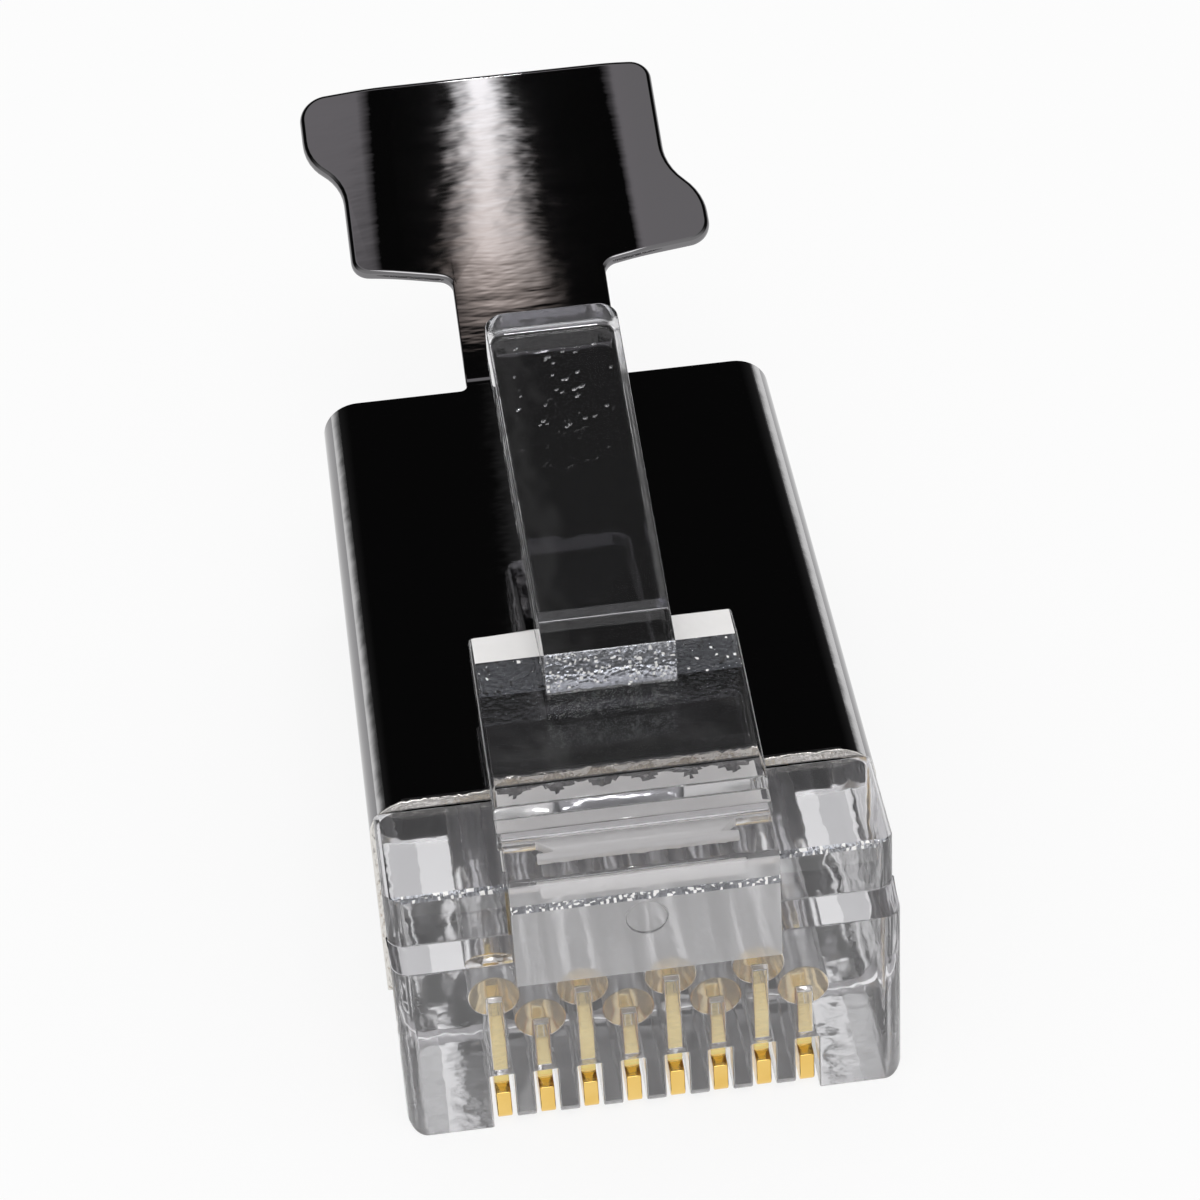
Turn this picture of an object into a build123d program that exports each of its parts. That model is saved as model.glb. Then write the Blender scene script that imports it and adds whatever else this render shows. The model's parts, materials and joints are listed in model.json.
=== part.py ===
"""Shielded 8P8C modular plug (RJ45) as it is sold, before a cable is crimped on.

Frame: X is the plug's width, Y runs from the front face of the nose towards the cable, and Z points
to the latch side. The origin is on the contact side, under the middle of the front face.
Lengths are in millimetres and angles in degrees.
"""

import os
from math import cos, radians, sin

from build123d import *

os.makedirs("parts", exist_ok=True)

# Clear nose, which stands ahead of the shield
nose_width = 11.68
nose_height = 6.58
nose_length = 4.0
nose_edge_radius = 0.45
nose_top_radius = 0.15
ledge_height = 5.16
ledge_depth = 0.97

# Shield: one folded sheet with a crimp tail
sheet = 0.25
shield_width = 11.92
shield_height = 6.84
shield_rear = 20.24
shield_bend_radius = 0.95
shield_seam = 0.12
shield_clearance = 0.02
contact_window_length = 6.4
contact_window_height = 0.95
lance_place = 15.4
lance_height = 3.4
lance_length = 1.7
lance_width = 1.4
lance_depth = 0.3
lance_gap = 0.12

# Contacts
contact_count = 8
contact_pitch = 1.02
blade_thickness = 0.35
blade_front = 0.1
blade_length = 3.3
blade_bottom = 0.06
blade_foot_height = 0.94
blade_set_back = 0.35
blade_corner_radius = 0.3
tine_count = 3
tine_height = 0.62
tine_gap = 0.26
tine_flat = 0.1
blade_clearance = 0.01

# Slots, slits and wire channels of the housing
slot_width = 0.56
slot_height = 1.66
slot_length = 5.9
rib_recess = 0.12
rib_edge_radius = 0.3
channel_diameter = 1.2
channel_front = 0.8
channel_rear = 9.5
lower_channel_height = 2.95
channel_rise = 0.85
tip_clearance = 0.08

# Rear cavity for the wire pairs
cavity_width = 9.2
cavity_height = 4.7
cavity_front = 12.0
cavity_corner_radius = 1.2
funnel_margin = 0.15
funnel_corner_radius = 0.5
housing_rear_inset = 0.24

# Latch root and thin hinge, moulded on the nose
root_width = 6.1
root_proud = 0.1
root_bottom = 4.5
root_wall = 1.1
root_corner_radius = 0.3
root_edge_radius = 0.15
pocket_mouth_width = 4.6
pocket_mouth_length = 0.14
pocket_front_width = 3.8
pocket_rear_width = 4.5
hinge_y = 1.75
hinge_thickness = 0.52
hinge_top = 7.62
hinge_clearance = 0.02
gate_diameter = 0.95
gate_height = 6.15
gate_depth = 0.06

# Latch arm, shoulders and lever
arm_width = 6.28
arm_thickness = 1.0
arm_angle = 9.0
arm_start_y = 2.1
arm_step = 0.38
arm_lead = 0.3
arm_edge_radius = 0.12
shoulder_reach = 5.42
shoulder_land = 1.0
shoulder_drop = 0.2
lever_foot_width = 3.06
lever_end_width = 3.38
lever_thickness = 1.45
lever_rise = 1.15
lever_foot_y = 5.25
lever_reach = 15.0
lever_edge_radius = 0.22
lever_corner_radius = 0.5

# Crimp tail of the shield
tail_angle = 25.0
tail_bend_radius = 0.9
neck_width = 4.15
neck_length = 3.12
neck_root_radius = 0.2
neck_crimp_radius = 0.4
crimp_length = 6.53
crimp_wide = 5.38
crimp_narrow = 4.45
crimp_shift = -0.26
crimp_sweep = 0.58
crimp_wide_corner = 0.75
crimp_narrow_corner = 0.55
crimp_s_start = 1.45
crimp_s_length = 2.2
wing_start = 2.95
wing_bend_radius = 7.0
wing_angle = 7.0

# Sizes that follow from the ones above
inner_width = shield_width - 2 * sheet
inner_radius = shield_bend_radius - sheet
body_width = inner_width - 2 * shield_clearance
body_top = shield_height - sheet - shield_clearance
body_bottom = sheet + shield_clearance
body_radius = inner_radius - shield_clearance
body_rear = shield_rear - housing_rear_inset
lip_rear = contact_window_length - shield_clearance
lip_height = contact_window_height - shield_clearance
contact_places = [(number - (contact_count - 1) / 2) * contact_pitch for number in range(contact_count)]
upper_channel_height = lower_channel_height + channel_rise
hinge_z = hinge_top - hinge_thickness / 2
hinge_bottom = hinge_top - hinge_thickness
web_front = root_wall - root_proud
web_rear = hinge_y - hinge_thickness / 2
arm_start_z = hinge_top + arm_step
slope_sin = sin(radians(arm_angle))
slope_cos = cos(radians(arm_angle))


def channel_height(number):
    """Height of a contact's wire channel: odd contacts serve the upper row, even ones the lower."""
    return upper_channel_height if number % 2 == 0 else lower_channel_height


def on_arm(along, above):
    """Point (Y, Z) at a distance along the arm from its front ridge and above its top face."""
    return (
        arm_start_y + along * slope_cos - above * slope_sin,
        arm_start_z + along * slope_sin + above * slope_cos,
    )


# Housing: clear polycarbonate body with the latch root
with BuildPart() as housing:
    # nose: front outline with rounded edges along it, then its plan outline with rounded corners
    with BuildSketch(Plane.XZ):
        Rectangle(nose_width, nose_height, align=(Align.CENTER, Align.MIN))
        fillet(vertices().group_by(Axis.Y)[0], nose_edge_radius)
        fillet(vertices().group_by(Axis.Y)[-1], nose_top_radius)
    extrude(amount=-nose_length)
    with BuildSketch(Plane.XY):
        Rectangle(nose_width, nose_length, align=(Align.CENTER, Align.MIN))
        fillet(vertices().group_by(Axis.Y)[0], nose_edge_radius)
    extrude(amount=nose_height, mode=Mode.INTERSECT)
    with BuildSketch(Plane.XY.offset(ledge_height)):
        Rectangle(nose_width, nose_length, align=(Align.CENTER, Align.MIN))
        with BuildSketch(mode=Mode.PRIVATE) as upper_nose:
            with Locations((0, ledge_depth)):
                Rectangle(nose_width, nose_length, align=(Align.CENTER, Align.MIN))
            fillet(upper_nose.vertices().group_by(Axis.Y)[0], nose_edge_radius)
        add(upper_nose.sketch, mode=Mode.SUBTRACT)
    extrude(amount=nose_height - ledge_height, mode=Mode.SUBTRACT)

    # body inside the shield
    with BuildSketch(Plane.XZ.offset(-nose_length)):
        with Locations((0, (body_top + body_bottom) / 2)):
            RectangleRounded(body_width, body_top - body_bottom, body_radius)
    extrude(amount=-(body_rear - nose_length))

    # lip round the contacts, where the shield leaves the underside open
    with BuildSketch(Plane.XZ.offset(-nose_length)):
        Rectangle(nose_width, lip_height, align=(Align.CENTER, Align.MIN))
        fillet(vertices().group_by(Axis.Y)[0], nose_edge_radius)
    extrude(amount=-(lip_rear - nose_length))

    # latch root: front wall, the fixed half of the thin hinge, and webs beside the pocket under it
    with BuildSketch(Plane.YZ):
        with BuildLine():
            Polyline(
                (-root_proud, root_bottom),
                (-root_proud, hinge_top),
                (hinge_y, hinge_top),
                (hinge_y, hinge_bottom),
                (web_front, hinge_bottom),
                (web_front, root_bottom),
                close=True,
            )
        make_face()
        fillet(vertices().sort_by_distance((web_front, hinge_bottom))[0], root_corner_radius)
        fillet(vertices().sort_by_distance((-root_proud, hinge_top))[0], root_edge_radius)
    extrude(amount=root_width / 2, both=True)
    with BuildSketch(Plane.XY.offset(nose_height)):
        for turn in (1, -1):
            with BuildLine():
                Polyline(
                    (turn * root_width / 2, web_front),
                    (turn * pocket_mouth_width / 2, web_front),
                    (turn * pocket_mouth_width / 2, web_front + pocket_mouth_length),
                    (turn * pocket_front_width / 2, web_front + pocket_mouth_length),
                    (turn * pocket_rear_width / 2, web_rear),
                    (turn * root_width / 2, web_rear),
                    close=True,
                )
            make_face()
    extrude(amount=hinge_bottom - nose_height)
    with BuildSketch(Plane.YZ):
        with Locations((hinge_y, hinge_z)):
            Circle(hinge_thickness / 2 + hinge_clearance)
    extrude(amount=root_width / 2, both=True, mode=Mode.SUBTRACT)
    with BuildSketch(Plane.XZ.offset(root_proud)):
        with Locations((0, gate_height)):
            Circle(gate_diameter / 2)
    extrude(amount=-gate_depth, mode=Mode.SUBTRACT)

    # ribs between the contacts, shorter than the side walls and rounded towards the front
    slit_length = blade_length - 2 * blade_set_back + 2 * blade_clearance
    rib_half_width = (contact_count - 1) / 2 * contact_pitch + slot_width / 2
    with BuildSketch(Plane.YZ):
        with BuildLine():
            Polyline((0, 0), (slot_length, 0), (slot_length, rib_recess), (rib_edge_radius, rib_recess))
            TangentArc((rib_edge_radius, rib_recess), (0, rib_recess + rib_edge_radius), tangent=(-1, 0))
            Line((0, rib_recess + rib_edge_radius), (0, 0))
        make_face()
    extrude(amount=rib_half_width, both=True, mode=Mode.SUBTRACT)

    # a slot, a slit and a wire channel for each contact
    for number, place in enumerate(contact_places):
        with BuildSketch(Plane.XY):
            with Locations((place, 0)):
                Rectangle(slot_width, 2 * slot_length)
        extrude(amount=slot_height, mode=Mode.SUBTRACT)
        with BuildSketch(Plane.XY):
            with Locations((place, blade_front + blade_set_back - blade_clearance)):
                Rectangle(
                    blade_thickness + 2 * blade_clearance,
                    slit_length,
                    align=(Align.CENTER, Align.MIN),
                )
        extrude(amount=channel_height(number), mode=Mode.SUBTRACT)
        with BuildSketch(Plane.XZ.offset(-channel_front)):
            with Locations((place, channel_height(number))):
                Circle(channel_diameter / 2)
        extrude(amount=-(channel_rear - channel_front), mode=Mode.SUBTRACT)

    # funnel from the channels to the rear cavity
    row_width = (contact_count - 1) * contact_pitch + channel_diameter + 2 * funnel_margin
    row_height = channel_rise + channel_diameter + 2 * funnel_margin
    row_middle = (lower_channel_height + upper_channel_height) / 2
    with BuildSketch(Plane.XZ.offset(-channel_rear)):
        with Locations((0, row_middle)):
            RectangleRounded(row_width, row_height, funnel_corner_radius)
    with BuildSketch(Plane.XZ.offset(-cavity_front)):
        with Locations((0, row_middle)):
            RectangleRounded(cavity_width, cavity_height, cavity_corner_radius)
    loft(mode=Mode.SUBTRACT)
    with BuildSketch(Plane.XZ.offset(-cavity_front)):
        with Locations((0, row_middle)):
            RectangleRounded(cavity_width, cavity_height, cavity_corner_radius)
    extrude(amount=-(body_rear - cavity_front), mode=Mode.SUBTRACT)

    # side pockets for the shield's lances
    with BuildSketch(Plane.XY.offset(lance_height - lance_width / 2 - lance_gap)):
        with Locations((0, lance_place - lance_gap)):
            Rectangle(2 * body_width, lance_length + lance_gap, align=(Align.CENTER, Align.MIN))
            Rectangle(
                inner_width - 2 * lance_depth - 2 * lance_gap,
                lance_length + lance_gap,
                align=(Align.CENTER, Align.MIN),
                mode=Mode.SUBTRACT,
            )
    extrude(amount=lance_width + 2 * lance_gap, mode=Mode.SUBTRACT)

housing.part.label = "housing"
export_step(housing.part, "parts/housing.step")

# Lever: the finger tab that rises from the arm, wider at its end
lever_end_y = on_arm(lever_reach, lever_rise)[0]
lever_foot_along = (lever_foot_y - arm_start_y) / slope_cos
with BuildPart() as lever:
    with BuildSketch(Plane.YZ):
        with BuildLine():
            Polyline(
                (lever_foot_y, on_arm(lever_foot_along, -arm_thickness / 2)[1]),
                (lever_foot_y, on_arm(lever_foot_along, 0)[1] + lever_rise / slope_cos),
                on_arm(lever_reach, lever_rise),
                on_arm(lever_reach, lever_rise - lever_thickness),
                on_arm(shoulder_reach, lever_rise - lever_thickness),
                on_arm(shoulder_reach, -arm_thickness / 2),
                close=True,
            )
        make_face()
    extrude(amount=lever_end_width, both=True)
    with BuildSketch(Plane.XY):
        with BuildLine():
            Polyline(
                (-lever_foot_width / 2, lever_foot_y),
                (lever_foot_width / 2, lever_foot_y),
                (lever_end_width / 2, lever_end_y + lever_thickness),
                (-lever_end_width / 2, lever_end_y + lever_thickness),
                close=True,
            )
        make_face()
    extrude(amount=4 * shield_height, mode=Mode.INTERSECT)
    end_face = lever.faces().sort_by(Axis.Y)[-1]
    end_corners = end_face.edges().sort_by(Axis.X)
    fillet([end_corners[0], end_corners[-1]], lever_corner_radius)
    top_face = lever.faces().sort_by(Axis.Z)[-1]
    top_edges = top_face.edges().sort_by(Axis.Y)[1:]
    fillet(top_edges, lever_edge_radius)

# Latch: arm with shoulders and lever, on the moving half of the thin hinge
with BuildPart() as latch:
    with BuildSketch(Plane.YZ):
        with BuildLine():
            outline = Polyline(
                (hinge_y, hinge_top),
                (arm_start_y, hinge_top),
                (arm_start_y, arm_start_z),
                on_arm(shoulder_reach - shoulder_land, 0),
                on_arm(shoulder_reach, -shoulder_drop),
                on_arm(shoulder_reach, -arm_thickness),
                on_arm(arm_lead, -arm_thickness),
                (hinge_y, hinge_bottom),
            )
            ThreePointArc(outline @ 1, (hinge_y - hinge_thickness / 2, hinge_z), outline @ 0)
        make_face()
    extrude(amount=arm_width / 2, both=True)
    ridge = on_arm(0, 0)
    land = on_arm(shoulder_reach - shoulder_land, 0)
    side_edges = [
        edge
        for edge in latch.edges().filter_by(GeomType.LINE)
        if abs(abs(edge.center().X) - arm_width / 2) < arm_edge_radius
        and ridge[1] < edge.center().Z < on_arm(shoulder_reach, 0)[1]
        and abs(edge.tangent_at(0).Y) > slope_cos / 2
    ]
    fillet(side_edges, arm_edge_radius)
    add(lever.part)

latch.part.label = "latch"
export_step(latch.part, "parts/latch.step")


# Contacts: stamped blades, with a foot in the slot and tines under the wire channel
def blade(number, place):
    """Contact blade of one slot, tall under the upper row of wires and short under the lower."""
    tip = channel_height(number) - channel_diameter / 2 - tip_clearance
    foot_top = blade_bottom + blade_foot_height
    plate_front = blade_front + blade_set_back
    plate_rear = blade_front + blade_length - blade_set_back
    tine_pitch = (plate_rear - plate_front + tine_gap) / tine_count
    with BuildPart() as contact:
        with BuildSketch(Plane.YZ.offset(place)):
            with Locations((blade_front, blade_bottom)):
                Rectangle(blade_length, blade_foot_height, align=(Align.MIN, Align.MIN))
            fillet(vertices().group_by(Axis.Y)[0], blade_corner_radius)
            with Locations((plate_front, foot_top)):
                Rectangle(
                    plate_rear - plate_front,
                    tip - tine_height - foot_top,
                    align=(Align.MIN, Align.MIN),
                )
            with BuildLine():
                for tine in range(tine_count):
                    left = plate_front + tine * tine_pitch
                    right = left + tine_pitch - tine_gap
                    middle = (left + right) / 2
                    Polyline(
                        (left, tip - tine_height),
                        (middle - tine_flat / 2, tip),
                        (middle + tine_flat / 2, tip),
                        (right, tip - tine_height),
                        close=True,
                    )
            make_face()
        extrude(amount=blade_thickness / 2, both=True)
    return contact.part


for number, place in enumerate(contact_places):
    contact = blade(number, place)
    contact.label = f"contact_{number + 1}"
    export_step(contact, f"parts/contact_{number + 1}.step")

# Crimp tail: a neck bent up from the shield, and a strip that is wrapped round the cable jacket
tail_sin = sin(radians(tail_angle))
tail_cos = cos(radians(tail_angle))
bend_start = shield_rear + neck_root_radius
inner_bend = tail_bend_radius - sheet
tail_origin = (0, bend_start + inner_bend * tail_sin, shield_height + inner_bend * (1 - tail_cos))
tail_plane = Plane(origin=tail_origin, x_dir=(1, 0, 0), z_dir=(0, -tail_sin, tail_cos))
tail_section = Plane(origin=(crimp_shift, *tail_origin[1:]), x_dir=(1, 0, 0), z_dir=(0, -tail_cos, -tail_sin))
crimp_end = neck_length + crimp_length


def strip_point(turn, half_width, along):
    """Point of the strip's outline: each half is the other one turned half round."""
    middle = neck_length + crimp_length / 2
    return (crimp_shift + turn * half_width, middle + turn * (along - crimp_length / 2))


with BuildPart() as tail:
    with BuildSketch(tail_section):
        with BuildLine():
            flat = Line((0, 0), (wing_start, 0))
            bend = JernArc(flat @ 1, (1, 0), wing_bend_radius, -wing_angle)
            wing = Line(bend @ 1, (bend @ 1) + (bend % 1) * crimp_wide / 2)
            mirror(about=Plane.YZ)
            offset(amount=sheet, side=Side.RIGHT, closed=True)
        make_face()
    extrude(amount=-crimp_end)
    with BuildSketch(tail_plane):
        with BuildLine():
            for turn, front_sweep, rear_sweep in ((1, crimp_sweep, 0), (-1, 0, crimp_sweep)):
                start = Polyline(
                    (0, neck_length + (1 - turn) * crimp_length / 2),
                    (turn * neck_width / 2, neck_length + (1 - turn) * crimp_length / 2),
                    strip_point(turn, crimp_wide, front_sweep),
                    strip_point(turn, crimp_wide, crimp_s_start),
                )
                s_front = TangentArc(
                    start @ 1,
                    strip_point(turn, (crimp_wide + crimp_narrow) / 2, crimp_s_start + crimp_s_length / 2),
                    tangent=(0, turn),
                )
                s_rear = TangentArc(
                    s_front @ 1,
                    strip_point(turn, crimp_narrow, crimp_s_start + crimp_s_length),
                    tangent=s_front % 1,
                )
                Polyline(
                    s_rear @ 1,
                    strip_point(turn, crimp_narrow, crimp_length - rear_sweep),
                    (turn * neck_width / 2, neck_length + (1 + turn) * crimp_length / 2),
                    (0, neck_length + (1 + turn) * crimp_length / 2),
                )
        make_face()
        corners = vertices()
        wide_corners = [corners.sort_by_distance(strip_point(turn, crimp_wide, 0))[0] for turn in (1, -1)]
        fillet(wide_corners, crimp_wide_corner)
        corners = vertices()
        narrow_corners = [
            corners.sort_by_distance(strip_point(turn, crimp_narrow, crimp_length))[0] for turn in (1, -1)
        ]
        fillet(narrow_corners, crimp_narrow_corner)
        Rectangle(neck_width, neck_length + crimp_length / 2, align=(Align.CENTER, Align.MIN))
        fillet(vertices().sort_by_distance((0, neck_length))[:2], neck_crimp_radius)
    extrude(amount=crimp_length, both=True, mode=Mode.INTERSECT)

# Shield: the folded sheet round the housing, with its tail
with BuildPart() as shield:
    with BuildSketch(Plane.XZ.offset(-nose_length - shield_clearance)):
        with Locations((0, shield_height / 2)):
            RectangleRounded(shield_width, shield_height, shield_bend_radius)
            RectangleRounded(inner_width, shield_height - 2 * sheet, inner_radius, mode=Mode.SUBTRACT)
    extrude(amount=-(shield_rear - nose_length - shield_clearance))

    # open underside at the contacts, and the seam where the fold closes
    with BuildSketch(Plane.XY):
        Rectangle(2 * shield_width, 2 * contact_window_length)
    extrude(amount=contact_window_height, mode=Mode.SUBTRACT)
    with BuildSketch(Plane.XY):
        Rectangle(shield_seam, 3 * shield_rear)
    extrude(amount=2 * sheet, mode=Mode.SUBTRACT)

    # lances that catch in the housing's side pockets
    with BuildSketch(Plane.XY.offset(lance_height - lance_width / 2 - lance_gap)):
        with Locations((0, lance_place - lance_gap)):
            Rectangle(2 * shield_width, lance_length + lance_gap, align=(Align.CENTER, Align.MIN))
    extrude(amount=lance_width + 2 * lance_gap, mode=Mode.SUBTRACT)
    with BuildSketch(Plane.XY.offset(lance_height - lance_width / 2)):
        with BuildLine():
            Polyline(
                (inner_width / 2, lance_place + lance_length),
                (inner_width / 2 - lance_depth, lance_place),
                (shield_width / 2 - lance_depth, lance_place),
                (shield_width / 2, lance_place + lance_length),
                close=True,
            )
        make_face()
        mirror(about=Plane.YZ)
    extrude(amount=lance_width)

    # root, bend and neck of the tail
    with BuildSketch(Plane.XY.offset(shield_height)):
        with Locations((0, shield_rear)):
            Rectangle(neck_width + 2 * neck_root_radius, neck_root_radius, align=(Align.CENTER, Align.MIN))
        with Locations(
            (-neck_width / 2 - neck_root_radius, bend_start),
            (neck_width / 2 + neck_root_radius, bend_start),
        ):
            Circle(neck_root_radius, mode=Mode.SUBTRACT)
    extrude(amount=-sheet)
    with BuildSketch(Plane.YZ):
        with BuildLine():
            CenterArc((bend_start, shield_height + inner_bend), tail_bend_radius - sheet / 2, -90, tail_angle)
            offset(amount=sheet / 2, side=Side.BOTH)
        make_face()
    extrude(amount=neck_width / 2, both=True)
    add(tail.part)

shield.part.label = "shield"
export_step(shield.part, "parts/shield.step")
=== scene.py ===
"""Dresses a shielded 8P8C modular plug: clear nose and latch, folded plated shield, gold blades.

Lengths are in metres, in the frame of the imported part: X is the plug's width, Y runs from the front
of the nose towards the cable, and Z points to the latch side. Sizes in millimetres are written
times MM.
"""

import json
import logging
import math
import random
from contextlib import contextmanager
from dataclasses import dataclass, field
from enum import Enum
from typing import Callable, Iterator, Sequence

import bmesh
import bpy
from mathutils import Matrix, Vector

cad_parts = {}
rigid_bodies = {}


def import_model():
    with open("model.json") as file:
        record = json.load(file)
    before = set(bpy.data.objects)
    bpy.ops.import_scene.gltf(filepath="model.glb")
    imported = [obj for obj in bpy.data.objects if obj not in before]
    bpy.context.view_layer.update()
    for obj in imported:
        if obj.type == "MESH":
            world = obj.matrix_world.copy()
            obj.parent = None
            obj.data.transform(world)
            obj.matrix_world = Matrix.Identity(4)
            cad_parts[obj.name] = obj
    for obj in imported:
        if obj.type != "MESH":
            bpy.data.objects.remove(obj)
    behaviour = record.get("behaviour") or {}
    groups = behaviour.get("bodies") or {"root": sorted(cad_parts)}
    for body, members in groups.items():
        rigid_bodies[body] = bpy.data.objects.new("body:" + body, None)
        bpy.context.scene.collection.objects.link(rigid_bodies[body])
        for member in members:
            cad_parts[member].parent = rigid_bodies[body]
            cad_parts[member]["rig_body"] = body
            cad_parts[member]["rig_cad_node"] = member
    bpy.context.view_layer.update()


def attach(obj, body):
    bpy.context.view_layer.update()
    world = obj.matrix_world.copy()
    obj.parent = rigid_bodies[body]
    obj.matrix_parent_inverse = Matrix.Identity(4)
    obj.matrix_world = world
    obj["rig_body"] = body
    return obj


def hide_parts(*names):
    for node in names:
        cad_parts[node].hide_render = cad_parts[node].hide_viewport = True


MM = 0.001
CUT_TOLERANCE = 0.0002 * MM
FLUSH = 0.01 * MM
MOULD_DEPTH = 0.1 * MM
SHEET_DEPTH = 0.05 * MM
# Cosines between a face's normal and the way that it looks, from strict to loose
LEVEL, FACING, LEANING, SLOPING, TURNED, ROUNDED = 0.99, 0.9, 0.8, 0.7, 0.5, 0.4
log = logging.getLogger("modular_plug")

Colour = tuple[float, float, float]
Pair = tuple[float, float]
Stop = tuple[float, float, Colour]
Test = Callable[[Vector, Vector], bool]
Share = Callable[[Vector, list[Vector]], float]
WHITE: Colour = (1.0, 1.0, 1.0)
X, Y, Z = (Vector(row) for row in Matrix.Identity(3))
PLASTIC_LABELS = ("Wave Height", "Wave Size", "Grain Height", "Grain Size", "Roughness", "Roughness Change")
METAL_LABELS = ("Line Height", "Line Size", "Dent Height", "Dent Size", "Roughness", "Roughness Change")


class Body(Enum):
    """Bodies of the part that a piece can ride on."""

    PLUG = "plug_body"
    LATCH = "latch"


class Slot(Enum):
    """Material slots of the part's record."""

    CLEAR = "clear_plastic"
    PLATED = "plated_sheet"
    GOLD = "gold_plating"


def pick(piece: bpy.types.Object) -> None:
    """Makes a piece the only selected object, and the active one.

    Args:
        piece: The object to work on.
    """
    bpy.ops.object.select_all(action="DESELECT")
    piece.select_set(True)
    bpy.context.view_layer.objects.active = piece


@contextmanager
def editing(piece: bpy.types.Object, everything: bool = False) -> Iterator[bmesh.types.BMesh]:
    """Opens a piece in edit mode, and goes back to object mode afterwards.

    Args:
        piece: The object to edit.
        everything: Whether the whole mesh is selected at the start, instead of nothing.

    Yields:
        The mesh in edit mode.
    """
    pick(piece)
    bpy.ops.object.mode_set(mode="EDIT")
    bpy.ops.mesh.select_all(action="SELECT" if everything else "DESELECT")
    try:
        yield bmesh.from_edit_mesh(piece.data)
    finally:
        bpy.ops.object.mode_set(mode="OBJECT")


def apply_modifiers(piece: bpy.types.Object) -> None:
    """Applies every modifier of a piece, from the first to the last.

    Args:
        piece: The object whose modifiers are applied.
    """
    pick(piece)
    for modifier in list(piece.modifiers):
        bpy.ops.object.modifier_apply(modifier=modifier.name)


@dataclass
class Texture:
    """Spark-eroded patch: its faces are cut into a fine grid, whose corners move at random."""

    test: Test
    middle: Vector
    sides: tuple[Vector, ...]
    spacing: float = 0.06 * MM
    height: float = 0.04 * MM
    slide: float = 0.35

    def add(self, piece: bpy.types.Object) -> None:
        """Cuts the patch and moves its corners, except those on its border.

        Args:
            piece: The piece that has the patch.
        """
        with editing(piece) as mesh:
            for side in self.sides:
                count = round(2 * side.length / self.spacing)
                for number in range(1, count):
                    bpy.ops.mesh.select_all(action="DESELECT")
                    for face in mesh.faces:
                        if self.test(face.calc_center_median(), face.normal):
                            face.select_set(True)
                    place = self.middle + side * (2 * number / count - 1)
                    bpy.ops.mesh.bisect(plane_co=place, plane_no=side.normalized(), threshold=CUT_TOLERANCE)
                    mesh.normal_update()
            patch = {face for face in mesh.faces if self.test(face.calc_center_median(), face.normal)}
            for vert in mesh.verts:
                if patch.issuperset(vert.link_faces):
                    drift = Vector([random.uniform(-self.slide, self.slide) * self.spacing for _ in range(3)])
                    normal = vert.normal.copy()
                    vert.co += drift.cross(normal) + normal * self.height * random.uniform(-1, 0)
            log.info("texture: %d faces", len(patch))


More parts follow.
